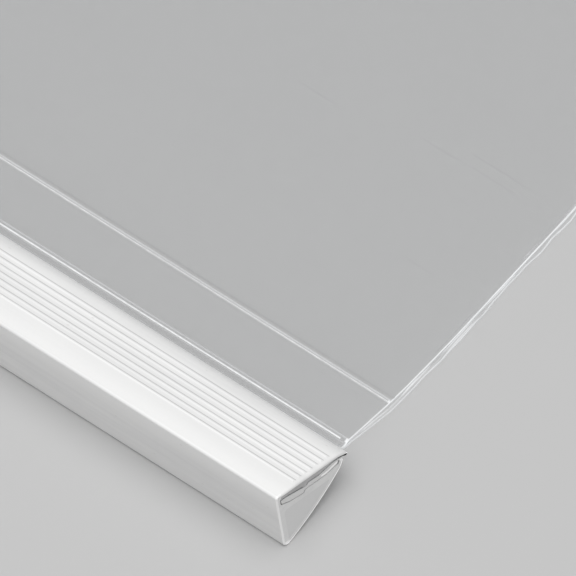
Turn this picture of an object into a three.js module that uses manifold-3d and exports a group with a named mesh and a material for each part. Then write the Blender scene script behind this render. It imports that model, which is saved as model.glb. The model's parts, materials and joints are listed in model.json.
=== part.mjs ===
// Sliding bar report cover: two clear sheets, welded along the spine, held in a white slide bar.
// Everything is drawn as a section across the bar and extruded along it, in millimetres.
// x runs inward from the spine, y along the bar and z up, with the closed cover lying on z = 0.
import * as THREE from "three";
import { mergeVertices } from "three/addons/utils/BufferGeometryUtils.js";
import Module from "manifold-3d";

const wasm = await Module();
wasm.setup();

// Slide bar. Its section is drawn from the spine corner, with the grip leaf's top face along +x.
const BAR_OVERHANG = 1.5; // the bar runs past each end of the sheets
const SPINE_FACE = 13.6; // spine corner to base corner
const GRIP_TILT = 22; // degrees that the grip leaf falls towards the covers
const SPINE_ANGLE = 60.2; // degrees between grip leaf and spine face
const BASE_RADIUS = 26; // the base bulges outward
const SPINE_CORNER_RADIUS = 0.35;
const BASE_CORNER_RADIUS = 0.9;
const WALL = 1.0;
const BORE_RADIUS = 0.4;

// Nose, the rounded corner that the base runs up to under the lip
const NOSE_REACH = 15.85; // from the spine corner
const NOSE_SHOULDER = 2.9; // below the leaf's top face, where the base runs out
const NOSE_SHOULDER_RADIUS = 1.6;
const NOSE_TOP = 1.36; // below the leaf's top face
const NOSE_TOP_RADIUS = 0.35;
const NOSE_LAND = 0.95; // across the top of the nose
const NOSE_RUN = 3.4; // length over which the slot's floor rises to the nose

// Slot under the grip leaf, down to its floor from the leaf's top face
const HEM_FLOOR_OUTER = 2.1; // where the folded hem lies, at the spine wall
const HEM_FLOOR_OUTER_AT = 1.9; // from the spine corner
const HEM_FLOOR_MIDDLE = 2.62;
const HEM_FLOOR_MIDDLE_AT = 4.0;
const HEM_FLOOR_INNER = 2.78; // at the step
const GRIP_FLOOR = 2.2; // under the flat part of the sheets
const FLOOR_STEP_AT = 8.4; // from the spine corner
const FLOOR_STEP_RUN = 0.25;

// Grip leaf, that springs open on its root at the spine corner
const LEAF_ROOT = 1.3; // from the spine corner
const ROOT_DEPTH = 1.15; // the slot's outer wall leans out from here down to its floor
const LIP_OVER_NOSE = 2.65; // the lip's bend starts this far outside the nose
const LEAF_ROOT_THICK = 0.95;
const LEAF_ROOT_FLAT = 3; // as thick up to here, from the spine corner
const LEAF_OUTER_THICK = 1.42; // beside the tooth, on the root's side
const LEAF_INNER_THICK = 1.12; // beside the tooth, on the lip's side
const LEAF_BELLY_AT = 10.2; // from the spine corner
const LEAF_BELLY_THICK = 1.22;
const LEAF_BEND_THICK = 0.55; // where the lip starts
const LIP_RADIUS = 6.5;
const LIP_BEND = 31; // degrees
const LIP_EDGE_THICK = 0.24;
const TOOTH_AT = 6.7; // from the spine corner
const TOOTH_WIDTH = 0.85;
const TOOTH_TIP = 0.65; // across its tip
const TOOTH_DEPTH = 1.64; // below the leaf's top face
const ROOT_GAP = 0.1;

// Grip ribs along the leaf's top face
const RIB_COUNT = 7;
const RIB_PITCH = 1.26;
const RIB_WIDTH = 0.56;
const RIB_HEIGHT = 0.12;
const LAST_RIB_OUT = 0.8; // the rib beside the lip, outside the start of the lip's bend

// End plugs, pressed into the bar's bore
const PLUG_DEPTH = 5;
const PLUG_FACE = 1.2;
const PLUG_SKIRT = 0.8;
const PLUG_CLEARANCE = 0.08;
const PLUG_RECESS = 0.1; // behind the bar's end

// Sheets of the cover
const FILM = 0.2;
const COVER_WIDTH = 220; // spine corner to the back sheet's free edge
const SHEET_LENGTH = 307;
const MARGIN_SHORTER = 0.05; // at each end, inside the slot, than the bar
const FRONT_SHORTER = 0.5; // the front sheet's free edge stops short of the back's
const FREE_CORNER_RADIUS = 4;
const SHEET_CLEARANCE = 0.06; // between the sheets and the walls of the slot

// Welded spine edge. Depths are below the leaf's top face, to the middle of the two sheets.
const HEM_TO_WALL = 0.2; // the folded hem, welded solid
const HEM_TO_LEAF = 0.25;
const HEM_TO_TOOTH = 0.2;
const HEM_TOE = 8.2; // its lower part reaches in under the tooth, from the spine corner
const HEM_RADIUS = 0.3;
const FOLD_START = 7.8; // its inner folds start past the tooth, from the spine corner
const WELD_BITE = 0.02; // the two sheets run into each other where they are welded
const LIP_PASS_IN = 0.7; // past the nose, where the sheets clear the lip
const LIP_PASS_DEPTH = 1.55;
const DIP_PASS_IN = 2.25; // past the nose, the lowest point between lip and crease
const DIP_PASS_DEPTH = 2.1;

// Creases. Each is a living hinge: a narrow gap between two plates, with the hinge line in its middle.
const CREASE_GAP = 0.5;
const SPINE_CREASE_IN = 3.35; // front sheet's crease past the nose, along the leaf's plane
const SPINE_CREASE_DEPTH = 1.25; // and below that plane
const CREASE_LAG = 0.65; // the back sheet's spine crease lies further in
const CREASE_SPREAD = 0.75; // and further down
const STRIP_WIDTH = 9;
const FRONT_STRIP_FALL = 10.8; // degrees
const BACK_STRIP_FALL = 18; // degrees

// Lie of the covers beyond the second crease: they settle on a curve, then run straight to the free edge
const SETTLE_RUN = 18; // length of the curve
const SETTLE_STEPS = 8;
const FRONT_SETTLED = 2.1; // height of a sheet's middle where the curve ends
const BACK_SETTLED = 0.6;
const EDGE_CLEARANCE = 0.3; // between the two sheets along their free edges

const LEAF_STRAIGHT = NOSE_REACH - LIP_OVER_NOSE; // spine corner to the start of the lip's bend
const LAST_RIB = LEAF_STRAIGHT - LAST_RIB_OUT;
const BAR_LENGTH = SHEET_LENGTH + 2 * BAR_OVERHANG;
const MARGIN_LENGTH = BAR_LENGTH - 2 * MARGIN_SHORTER;

const CURVE_SEGMENTS = 5; // half the straight runs that a rounded corner is drawn with

const radians = THREE.MathUtils.degToRad;
const vec = (x, y) => new THREE.Vector2(x, y);
const heading = (degrees) => vec(Math.cos(radians(degrees)), Math.sin(radians(degrees)));
const along = (point, direction, distance) => point.clone().addScaledVector(direction, distance);

// Where the line through p along d crosses the line through q along e.
function meet(p, d, q, e) {
  const t = q.clone().sub(p).cross(e) / d.cross(e);
  return along(p, d, t);
}

// A closed outline through corners, each given as [point, radius].
function roundedShape(corners) {
  const shape = new THREE.Shape();
  corners.forEach(([point, radius], i) => {
    const before = corners.at(i - 1)[0];
    const after = corners[(i + 1) % corners.length][0];
    const back = before.clone().sub(point).normalize();
    const on = after.clone().sub(point).normalize();
    const half = Math.acos(back.dot(on)) / 2;
    const start = along(point, back, radius / Math.tan(half));
    if (i) shape.lineTo(start.x, start.y);
    else shape.moveTo(start.x, start.y);
    if (!radius) return;
    const end = along(point, on, radius / Math.tan(half));
    const centre = along(point, back.clone().add(on).normalize(), radius / Math.sin(half));
    const from = start.sub(centre).angle();
    const to = end.sub(centre).angle();
    shape.absarc(centre.x, centre.y, radius, from, to, back.cross(on) > 0);
  });
  return shape;
}

// The outline of a sheet of the given thickness whose middle follows the path.
function ribbonShape(path, thickness) {
  const runs = path.slice(1).map((point, i) => point.clone().sub(path[i]).normalize());
  const sides = path.map((point, i) => {
    const before = runs[Math.max(i - 1, 0)];
    const after = runs[Math.min(i, runs.length - 1)];
    const across = before.clone().add(after).normalize();
    const normal = vec(-across.y, across.x);
    const reach = thickness / 2 / across.dot(after);
    return [along(point, normal, -reach), along(point, normal, reach)];
  });
  const upper = sides.map(([, above]) => above);
  const lower = sides.map(([below]) => below);
  return new THREE.Shape([...lower, ...upper.reverse()]);
}

// A section extruded along y, centred on y = 0 or on the place given.
function extrudeAlongBar(shape, length, middle = 0) {
  const options = { depth: length, bevelEnabled: false, curveSegments: CURVE_SEGMENTS };
  return new THREE.ExtrudeGeometry(shape, options)
    .translate(0, 0, -length / 2 - middle)
    .rotateX(Math.PI / 2);
}

// A closed geometry as a solid for cutting and joining.
function toSolid(geometry) {
  const bare = geometry.index ? geometry.toNonIndexed() : geometry.clone();
  bare.deleteAttribute("normal");
  bare.deleteAttribute("uv");
  const merged = mergeVertices(bare, 1e-4);
  const vertProperties = merged.attributes.position.array;
  const triVerts = new Uint32Array(merged.index.array);
  return new wasm.Manifold(new wasm.Mesh({ numProp: 3, vertProperties, triVerts }));
}

// A solid as a geometry that three.js can draw.
function toGeometry(solid) {
  const mesh = solid.getMesh();
  const position = new THREE.BufferAttribute(new Float32Array(mesh.vertProperties), 3);
  const geometry = new THREE.BufferGeometry().setAttribute("position", position);
  geometry.setIndex(new THREE.BufferAttribute(new Uint32Array(mesh.triVerts), 1));
  geometry.computeVertexNormals();
  return geometry;
}

function whitePlastic() {
  return new THREE.MeshStandardMaterial({ color: 0xf0f0f0, roughness: 0.38, metalness: 0 });
}

function clearFilm() {
  const look = { color: 0xe6eaee, roughness: 0.08, metalness: 0, transparent: true, opacity: 0.3 };
  return new THREE.MeshStandardMaterial(look);
}

function piece(name, geometry, material) {
  const mesh = new THREE.Mesh(geometry, material);
  mesh.name = name;
  return mesh;
}

// The bar's outer faces: the spine face falls from the spine corner, the base rises to the nose on an arc.
const spineCorner = vec(0, 0);
const spineDown = heading(-SPINE_ANGLE);
const level = vec(1, 0);
const baseCorner = along(spineCorner, spineDown, SPINE_FACE);
const shoulder = vec(NOSE_REACH, -NOSE_SHOULDER);
const baseChord = shoulder.clone().sub(baseCorner);
const baseInward = vec(-baseChord.y, baseChord.x).normalize();
const baseCentreOff = Math.sqrt(BASE_RADIUS ** 2 - baseChord.lengthSq() / 4);
const baseCentre = along(baseCorner.clone().lerp(shoulder, 0.5), baseInward, baseCentreOff);

// Points along the base's arc, set in by the given amount, between two points near it.
function baseArc(from, to, inset) {
  const start = from.clone().sub(baseCentre).angle();
  const end = to.clone().sub(baseCentre).angle();
  const steps = CURVE_SEGMENTS;
  return Array.from({ length: steps + 1 }, (_, i) => {
    const angle = start + ((end - start) * i) / steps;
    return along(baseCentre, heading(THREE.MathUtils.radToDeg(angle)), BASE_RADIUS - inset);
  });
}

// Where the line through p along d last crosses the base's arc set in by the given amount.
function meetBase(p, d, inset) {
  const toMiddle = baseCentre.clone().sub(p);
  const middle = toMiddle.dot(d);
  const off = toMiddle.cross(d);
  return along(p, d, middle + Math.sqrt((BASE_RADIUS - inset) ** 2 - off ** 2));
}

// Height of the spine corner when the lowest point of the base's outline touches z = 0.
function spineCornerHeight() {
  const lowest = bodyOutline().getPoints(CURVE_SEGMENTS).map(({ x, y }) => {
    return y * Math.cos(radians(GRIP_TILT)) - x * Math.sin(radians(GRIP_TILT));
  });
  return -Math.min(...lowest);
}

const BAR_RISE = spineCornerHeight();

// From the bar's tilted section plane to the table's: x inward and y up from z = 0.
function toTable(point) {
  const tilt = radians(GRIP_TILT);
  const x = point.x * Math.cos(tilt) + point.y * Math.sin(tilt);
  const z = -point.x * Math.sin(tilt) + point.y * Math.cos(tilt);
  return vec(x, z + BAR_RISE);
}

// The outline of the bore, set in from the bar's faces.
function boreShape(inset) {
  const inFromSpine = along(spineCorner, heading(90 - SPINE_ANGLE), inset);
  const roof = vec(0, -HEM_FLOOR_INNER - inset);
  const foot = meetBase(inFromSpine, spineDown, inset);
  const heel = meetBase(roof, level, inset);
  const floor = baseArc(foot, heel, inset);
  return roundedShape([
    [meet(inFromSpine, spineDown, roof, level), BORE_RADIUS],
    [floor[0], BORE_RADIUS],
    ...floor.slice(1, -1).map((point) => [point, 0]),
    [floor.at(-1), BORE_RADIUS],
  ]);
}

// The body's outline, from the spine corner round by the base and the nose and back along the slot's floor.
function bodyOutline() {
  const base = baseArc(baseCorner, shoulder, 0);
  return roundedShape([
    [spineCorner, SPINE_CORNER_RADIUS],
    [base[0], BASE_CORNER_RADIUS],
    ...base.slice(1, -1).map((point) => [point, 0]),
    [shoulder, NOSE_SHOULDER_RADIUS],
    [vec(NOSE_REACH, -NOSE_TOP), NOSE_TOP_RADIUS],
    [vec(NOSE_REACH - NOSE_LAND, -NOSE_TOP), NOSE_TOP_RADIUS],
    [vec(NOSE_REACH - NOSE_LAND - NOSE_RUN, -GRIP_FLOOR), 0],
    [vec(FLOOR_STEP_AT + FLOOR_STEP_RUN, -GRIP_FLOOR), 0],
    [vec(FLOOR_STEP_AT, -HEM_FLOOR_INNER), 0],
    [vec(HEM_FLOOR_MIDDLE_AT, -HEM_FLOOR_MIDDLE), 0],
    [vec(HEM_FLOOR_OUTER_AT, -HEM_FLOOR_OUTER), HEM_RADIUS],
    [vec(LEAF_ROOT, -ROOT_DEPTH), 0],
    [vec(LEAF_ROOT, 0), 0],
  ]);
}

function slideBar() {
  const section = bodyOutline();
  section.holes.push(boreShape(WALL));
  return piece("slide_bar", extrudeAlongBar(section, BAR_LENGTH), whitePlastic());
}

// A point that far along the leaf's top face, sunk below it by a depth.
function onLeaf(distance, depth = 0) {
  if (distance <= LEAF_STRAIGHT) return vec(distance, -depth);
  const turn = (distance - LEAF_STRAIGHT) / LIP_RADIUS;
  const radius = LIP_RADIUS - depth;
  return vec(LEAF_STRAIGHT + radius * Math.sin(turn), radius * Math.cos(turn) - LIP_RADIUS);
}

// The leaf with its ribs above, its tooth below and its lip bent down over the nose.
function leafShape() {
  const lipLength = LIP_RADIUS * radians(LIP_BEND);
  const tip = LEAF_STRAIGHT + lipLength;
  const root = LEAF_ROOT + ROOT_GAP;
  const top = [onLeaf(root)];
  for (let i = RIB_COUNT - 1; i >= 0; i--) {
    const middle = LAST_RIB - i * RIB_PITCH;
    top.push(onLeaf(middle - RIB_WIDTH / 2));
    top.push(onLeaf(middle - RIB_WIDTH / 5, -RIB_HEIGHT));
    top.push(onLeaf(middle + RIB_WIDTH / 5, -RIB_HEIGHT));
    top.push(onLeaf(middle + RIB_WIDTH / 2));
  }
  const lipStart = LAST_RIB + RIB_WIDTH / 2;
  const lipPoints = 2 * CURVE_SEGMENTS;
  const under = [];
  for (let i = 1; i <= lipPoints; i++) {
    const share = i / lipPoints;
    top.push(onLeaf(lipStart + (tip - lipStart) * share));
    const thick = LEAF_BEND_THICK + (LIP_EDGE_THICK - LEAF_BEND_THICK) * share;
    under.unshift(onLeaf(LEAF_STRAIGHT + lipLength * share, thick));
  }
  const inside = [
    vec(LEAF_STRAIGHT, -LEAF_BEND_THICK),
    vec(LEAF_BELLY_AT, -LEAF_BELLY_THICK),
    vec(TOOTH_AT + TOOTH_WIDTH, -LEAF_INNER_THICK),
    vec(TOOTH_AT + TOOTH_TIP, -TOOTH_DEPTH),
    vec(TOOTH_AT, -TOOTH_DEPTH),
    vec(TOOTH_AT, -LEAF_OUTER_THICK),
    vec(LEAF_ROOT_FLAT, -LEAF_ROOT_THICK),
    vec(root, -LEAF_ROOT_THICK),
  ];
  return new THREE.Shape([...top, ...under, ...inside].reverse());
}

function gripLeaf() {
  return piece("grip_leaf", extrudeAlongBar(leafShape(), BAR_LENGTH), whitePlastic());
}

// A cup that fills the bore behind the bar's end. side is -1 for the near end and 1 for the far one.
function endPlug(name, side) {
  const rim = boreShape(WALL + PLUG_CLEARANCE);
  const pocket = boreShape(WALL + PLUG_CLEARANCE + PLUG_SKIRT);
  const face = BAR_LENGTH / 2 - PLUG_RECESS;
  const body = extrudeAlongBar(rim, PLUG_DEPTH, side * (face - PLUG_DEPTH / 2));
  const hollowDepth = 2 * (PLUG_DEPTH - PLUG_FACE);
  const hollow = extrudeAlongBar(pocket, hollowDepth, side * (face - PLUG_DEPTH));
  return piece(name, toGeometry(toSolid(body).subtract(toSolid(hollow))), whitePlastic());
}

// Spine creases, in the bar's section plane and then in the table's
const frontSpineCrease = vec(NOSE_REACH + SPINE_CREASE_IN, -SPINE_CREASE_DEPTH);
const backSpineCrease = frontSpineCrease.clone().add(vec(CREASE_LAG, -CREASE_SPREAD));
const FRONT_CREASE_1 = toTable(frontSpineCrease);
const BACK_CREASE_1 = toTable(backSpineCrease);
const FRONT_CREASE_2 = along(FRONT_CREASE_1, heading(-FRONT_STRIP_FALL), STRIP_WIDTH);
const BACK_CREASE_2 = along(BACK_CREASE_1, heading(-BACK_STRIP_FALL), STRIP_WIDTH);

const SLOT_POINTS = 4; // of a margin's path, those inside the slot

// One sheet's margin inside the bar and out to just short of its spine crease. below is how far its middle
// lies under the pair's own middle.
function marginPath(below, crease) {
  const pairDepth = GRIP_FLOOR - SHEET_CLEARANCE - FILM;
  const overNose = NOSE_TOP - SHEET_CLEARANCE - FILM;
  const hemEnd = TOOTH_AT - HEM_TO_TOOTH;
  const noseStart = NOSE_REACH - NOSE_LAND;
  const dip = vec(NOSE_REACH + DIP_PASS_IN, -DIP_PASS_DEPTH - below);
  const outward = crease.clone().sub(dip).normalize();
  return [
    vec(hemEnd - HEM_RADIUS, -pairDepth - below),
    vec(noseStart - NOSE_RUN, -pairDepth - below),
    vec(noseStart, -overNose - below),
    vec(NOSE_REACH - NOSE_TOP_RADIUS / 2, -overNose - below),
    vec(NOSE_REACH + LIP_PASS_IN, -LIP_PASS_DEPTH - below),
    dip,
    along(crease, outward, -CREASE_GAP / 2),
  ];
}

// The folded hem, lying on the channel's floor behind the tooth, with its toe under the tooth.
function hemShape() {
  const hemEnd = TOOTH_AT - HEM_TO_TOOTH;
  const pairDepth = GRIP_FLOOR - SHEET_CLEARANCE - FILM;
  return roundedShape([
    [vec(HEM_FLOOR_OUTER_AT + HEM_TO_WALL, SHEET_CLEARANCE - HEM_FLOOR_OUTER), HEM_RADIUS],
    [vec(HEM_FLOOR_MIDDLE_AT, SHEET_CLEARANCE - HEM_FLOOR_MIDDLE), 0],
    [vec(HEM_TOE, SHEET_CLEARANCE - HEM_FLOOR_INNER), HEM_RADIUS / 2],
    [vec(HEM_TOE, -pairDepth), 0],
    [vec(hemEnd, -pairDepth), 0],
    [vec(hemEnd, -LEAF_OUTER_THICK - HEM_TO_LEAF), HEM_RADIUS / 2],
    [vec(LEAF_ROOT_FLAT, -LEAF_ROOT_THICK - HEM_TO_LEAF), 0],
    [vec(LEAF_ROOT + HEM_TO_WALL, -LEAF_ROOT_THICK - HEM_TO_LEAF), HEM_RADIUS / 2],
  ]);
}

// The hem's inner folds, between the leaf and the channel's floor from the tooth to the nose.
function innerFoldShape() {
  const pairDepth = GRIP_FLOOR - SHEET_CLEARANCE - FILM;
  const overNose = NOSE_TOP - SHEET_CLEARANCE - FILM;
  const noseStart = NOSE_REACH - NOSE_LAND;
  return roundedShape([
    [vec(FOLD_START, -pairDepth), 0],
    [vec(noseStart - NOSE_RUN, -pairDepth), 0],
    [vec(noseStart, -overNose), 0],
    [vec(LEAF_STRAIGHT, -LEAF_BEND_THICK - HEM_TO_LEAF), 0],
    [vec(LEAF_BELLY_AT, -LEAF_BELLY_THICK - HEM_TO_LEAF), 0],
    [vec(FOLD_START, -LEAF_INNER_THICK - HEM_TO_LEAF), HEM_RADIUS / 2],
  ]);
}

// Both margins and the folded hem, welded into one strip. Inside the slot it runs nearly to the bar's ends.
function weldedSpineEdge() {
  const apart = FILM / 2 - WELD_BITE / 2;
  const paths = [marginPath(-apart, frontSpineCrease), marginPath(apart, backSpineCrease)];
  const outside = paths.map((path) => extrudeAlongBar(ribbonShape(path, FILM), SHEET_LENGTH));
  const inSlot = paths.map((path) => {
    return extrudeAlongBar(ribbonShape(path.slice(0, SLOT_POINTS), FILM), MARGIN_LENGTH);
  });
  const folds = [hemShape(), innerFoldShape()].map((shape) => extrudeAlongBar(shape, MARGIN_LENGTH));
  const joined = [...outside, ...inSlot, ...folds].map(toSolid).reduce((whole, next) => whole.add(next));
  return piece("welded_spine_edge", toGeometry(joined), clearFilm());
}

// The strip between a sheet's two creases.
function hingeStrip(name, from, to) {
  const inward = to.clone().sub(from).normalize();
  const path = [along(from, inward, CREASE_GAP / 2), along(to, inward, -CREASE_GAP / 2)];
  return piece(name, extrudeAlongBar(ribbonShape(path, FILM), SHEET_LENGTH), clearFilm());
}

// A cover sheet's middle, from its crease down the curve and on to its free edge, at x and z.
function coverPath(crease, settled, freeEdge) {
  const drop = crease.y - settled;
  const path = [];
  for (let i = 0; i <= SETTLE_STEPS; i++) {
    const share = i / SETTLE_STEPS;
    path.push(vec(crease.x + SETTLE_RUN * share, settled + drop * (1 - share) ** 2));
  }
  const inward = path[1].clone().sub(path[0]).normalize();
  path[0] = along(path[0], inward, CREASE_GAP / 2);
  path.push(freeEdge);
  return path;
}

// A tall block over a sheet, with the free edge's corners rounded, that the sheet is trimmed to.
function trimBlock(crease, freeEdge) {
  const reach = crease.x - STRIP_WIDTH;
  const tall = 4 * BAR_RISE;
  const outline = roundedShape([
    [vec(reach, -SHEET_LENGTH / 2), 0],
    [vec(freeEdge, -SHEET_LENGTH / 2), FREE_CORNER_RADIUS],
    [vec(freeEdge, SHEET_LENGTH / 2), FREE_CORNER_RADIUS],
    [vec(reach, SHEET_LENGTH / 2), 0],
  ]);
  const options = { depth: tall, bevelEnabled: false, curveSegments: CURVE_SEGMENTS };
  return new THREE.ExtrudeGeometry(outline, options).translate(0, 0, -tall / 2);
}

function coverSheet(name, crease, settled, freeEdge) {
  const sheet = extrudeAlongBar(ribbonShape(coverPath(crease, settled, freeEdge), FILM), SHEET_LENGTH);
  const trimmed = toSolid(sheet).intersect(toSolid(trimBlock(crease, freeEdge.x)));
  return piece(name, toGeometry(trimmed), clearFilm());
}

// What is drawn in the bar's own section plane is tilted and raised as one group.
const inBarFrame = new THREE.Group();
inBarFrame.add(
  slideBar(),
  gripLeaf(),
  endPlug("near_end_plug", -1),
  endPlug("far_end_plug", 1),
  weldedSpineEdge(),
);
inBarFrame.rotation.y = radians(GRIP_TILT);
inBarFrame.position.z = BAR_RISE;

const onTable = new THREE.Group();
const backFree = vec(COVER_WIDTH, FILM / 2);
const frontFree = vec(COVER_WIDTH - FRONT_SHORTER, FILM / 2 + FILM + EDGE_CLEARANCE);
onTable.add(
  hingeStrip("front_hinge_strip", FRONT_CREASE_1, FRONT_CREASE_2),
  hingeStrip("back_hinge_strip", BACK_CREASE_1, BACK_CREASE_2),
  coverSheet("front_cover", FRONT_CREASE_2, FRONT_SETTLED, frontFree),
  coverSheet("back_cover", BACK_CREASE_2, BACK_SETTLED, backFree),
);

// The origin is under the middle of the whole cover, on the surface that it lies on.
const cover = new THREE.Group();
cover.add(inBarFrame, onTable);
const spineOverhang = SPINE_CORNER_RADIUS / Math.sin(radians(SPINE_ANGLE / 2));
const spineRoundCentre = toTable(along(vec(0, 0), heading(-SPINE_ANGLE / 2), spineOverhang));
const spineEdge = spineRoundCentre.x - SPINE_CORNER_RADIUS;
cover.position.x = -(spineEdge + COVER_WIDTH) / 2;

export default cover;
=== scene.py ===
"""Looks of a sliding bar report cover: a white ribbed slide bar grips two welded clear sheets.

Sections across the bar are drawn in millimetres and extruded along it. The bar's own section
starts at its spine corner, with the grip leaf's top face along +x. On the table x runs from the
spine to the covers' free edges, y along the bar and z up.
"""

import json
import logging
import math
from collections.abc import Callable, Sequence
from dataclasses import dataclass, field
from enum import Enum

import bmesh
import bpy
from mathutils import Matrix, Vector
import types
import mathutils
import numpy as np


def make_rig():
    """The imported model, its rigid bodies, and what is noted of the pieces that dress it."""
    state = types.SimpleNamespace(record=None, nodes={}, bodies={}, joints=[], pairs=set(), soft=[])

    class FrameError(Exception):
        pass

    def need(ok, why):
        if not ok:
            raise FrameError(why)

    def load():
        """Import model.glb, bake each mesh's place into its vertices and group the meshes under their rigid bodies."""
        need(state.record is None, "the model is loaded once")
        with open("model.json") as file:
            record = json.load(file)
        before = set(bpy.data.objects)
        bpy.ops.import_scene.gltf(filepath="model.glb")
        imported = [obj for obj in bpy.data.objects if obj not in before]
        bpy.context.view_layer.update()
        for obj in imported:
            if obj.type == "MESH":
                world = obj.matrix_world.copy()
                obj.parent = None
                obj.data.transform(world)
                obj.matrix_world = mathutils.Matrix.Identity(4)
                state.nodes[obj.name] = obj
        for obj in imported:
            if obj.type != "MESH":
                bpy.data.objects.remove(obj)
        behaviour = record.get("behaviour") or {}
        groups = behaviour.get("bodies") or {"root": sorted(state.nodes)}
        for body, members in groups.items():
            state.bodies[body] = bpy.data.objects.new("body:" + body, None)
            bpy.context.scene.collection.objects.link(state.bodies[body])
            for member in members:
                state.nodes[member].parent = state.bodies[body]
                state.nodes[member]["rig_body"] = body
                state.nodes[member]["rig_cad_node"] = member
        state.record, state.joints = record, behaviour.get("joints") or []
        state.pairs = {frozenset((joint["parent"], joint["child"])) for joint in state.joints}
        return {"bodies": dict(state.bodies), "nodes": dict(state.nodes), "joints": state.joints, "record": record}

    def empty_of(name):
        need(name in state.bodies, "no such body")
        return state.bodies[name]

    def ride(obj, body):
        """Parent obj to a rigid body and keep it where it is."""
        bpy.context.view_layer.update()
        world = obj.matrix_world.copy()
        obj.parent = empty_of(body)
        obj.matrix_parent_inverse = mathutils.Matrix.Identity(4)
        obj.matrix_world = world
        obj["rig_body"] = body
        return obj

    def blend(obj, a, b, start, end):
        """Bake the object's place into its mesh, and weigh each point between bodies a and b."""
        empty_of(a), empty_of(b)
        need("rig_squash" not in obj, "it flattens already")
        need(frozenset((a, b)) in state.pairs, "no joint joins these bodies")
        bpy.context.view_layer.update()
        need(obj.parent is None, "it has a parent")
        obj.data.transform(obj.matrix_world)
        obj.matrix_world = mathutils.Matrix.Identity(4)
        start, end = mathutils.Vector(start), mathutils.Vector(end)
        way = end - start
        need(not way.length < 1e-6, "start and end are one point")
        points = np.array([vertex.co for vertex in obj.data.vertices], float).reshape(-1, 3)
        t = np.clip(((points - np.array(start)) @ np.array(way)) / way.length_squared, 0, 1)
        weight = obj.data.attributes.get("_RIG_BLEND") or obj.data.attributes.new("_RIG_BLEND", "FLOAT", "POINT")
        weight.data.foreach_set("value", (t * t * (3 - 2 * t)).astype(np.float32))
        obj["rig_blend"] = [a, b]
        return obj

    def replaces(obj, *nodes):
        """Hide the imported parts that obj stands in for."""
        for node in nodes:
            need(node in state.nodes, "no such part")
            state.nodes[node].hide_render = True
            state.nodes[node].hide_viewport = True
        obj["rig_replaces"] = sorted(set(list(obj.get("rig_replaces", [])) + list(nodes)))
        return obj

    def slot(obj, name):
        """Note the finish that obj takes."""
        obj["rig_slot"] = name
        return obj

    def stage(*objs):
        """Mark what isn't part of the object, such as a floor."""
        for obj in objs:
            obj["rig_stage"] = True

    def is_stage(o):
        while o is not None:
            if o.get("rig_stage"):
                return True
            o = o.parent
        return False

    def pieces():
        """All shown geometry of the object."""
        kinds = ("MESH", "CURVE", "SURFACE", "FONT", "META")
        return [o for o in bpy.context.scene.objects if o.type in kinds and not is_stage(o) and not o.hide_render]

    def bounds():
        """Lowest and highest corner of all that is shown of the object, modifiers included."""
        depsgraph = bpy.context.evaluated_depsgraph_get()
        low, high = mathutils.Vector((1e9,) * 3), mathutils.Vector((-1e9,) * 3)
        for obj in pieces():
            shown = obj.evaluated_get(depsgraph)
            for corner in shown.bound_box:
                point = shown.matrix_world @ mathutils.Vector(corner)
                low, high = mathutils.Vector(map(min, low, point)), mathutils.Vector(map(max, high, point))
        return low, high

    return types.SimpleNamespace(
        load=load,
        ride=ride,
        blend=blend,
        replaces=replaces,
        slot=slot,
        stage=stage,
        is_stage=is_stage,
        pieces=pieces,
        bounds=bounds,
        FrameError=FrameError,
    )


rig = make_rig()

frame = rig.load()

LOG = logging.getLogger("report_cover")
MM = 0.001
# How far off a place may be, in millimetres, where parts of a mesh are picked by it
SLACK = 0.01
# The largest part along y of a normal whose face runs along the bar
ALONG_BAR = 0.05
# The smallest part along y of a normal whose face lies across the bar
ACROSS_BAR = 0.95
Colour = tuple[float, float, float]
Size = tuple[float, float, float]
Pair = tuple[float, float]
Section = tuple[tuple[float, ...], ...]
Cloud = tuple[float, int]
Finish = bpy.types.Material
Test = Callable[[Vector, Vector], bool]
CLEAR: Colour = (0.34, 0.35, 0.36)
# SHEEN is a painted reflection: the film's colour at glancing angles
SHEEN: Colour = (0.64, 0.65, 0.66)


class Slot(Enum):
    """The record's material slots."""

    PLASTIC = "white_plastic"
    FILM = "clear_film"


class BarEnd(Enum):
    """The bar's two ends, as directions along y."""

    NEAR = -1
    FAR = 1


class SheetSide(Enum):
    """The cover's two sheets."""

    FRONT = "front"
    BACK = "back"


class Part(Enum):
    """What a mesh is made of."""

    POINT = "VERT"
    EDGE = "EDGE"
    FACE = "FACE"


# Sections


@dataclass(frozen=True)
class Corner:
    """A corner of a section, with the radius that it is rounded to."""

    x: float
    y: float
    radius: float = 0.0

    @property
    def point(self) -> Vector:
        """The sharp corner itself."""
        return Vector((self.x, self.y))


def heading(degrees: float) -> Vector:
    """A unit direction in a section, turned that far from +x."""
    return Vector((math.cos(math.radians(degrees)), math.sin(math.radians(degrees))))


def arc(centre: Vector, start: Vector, end: Vector, steps: int) -> list[Vector]:
    """Points on the shorter arc between two points.

    Args:
        centre: The arc's centre.
        start: Its first point.
        end: Its last point.
        steps: How many straight runs it is drawn with.

    Returns:
        The points, with both ends.
    """
    radius = (start - centre).length
    first = math.atan2(*(start - centre).yx)
    turn = math.remainder(math.atan2(*(end - centre).yx) - first, math.tau)
    angles = [first + turn * i / steps for i in range(steps + 1)]
    return [centre + radius * Vector((math.cos(a), math.sin(a))) for a in angles]


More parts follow.
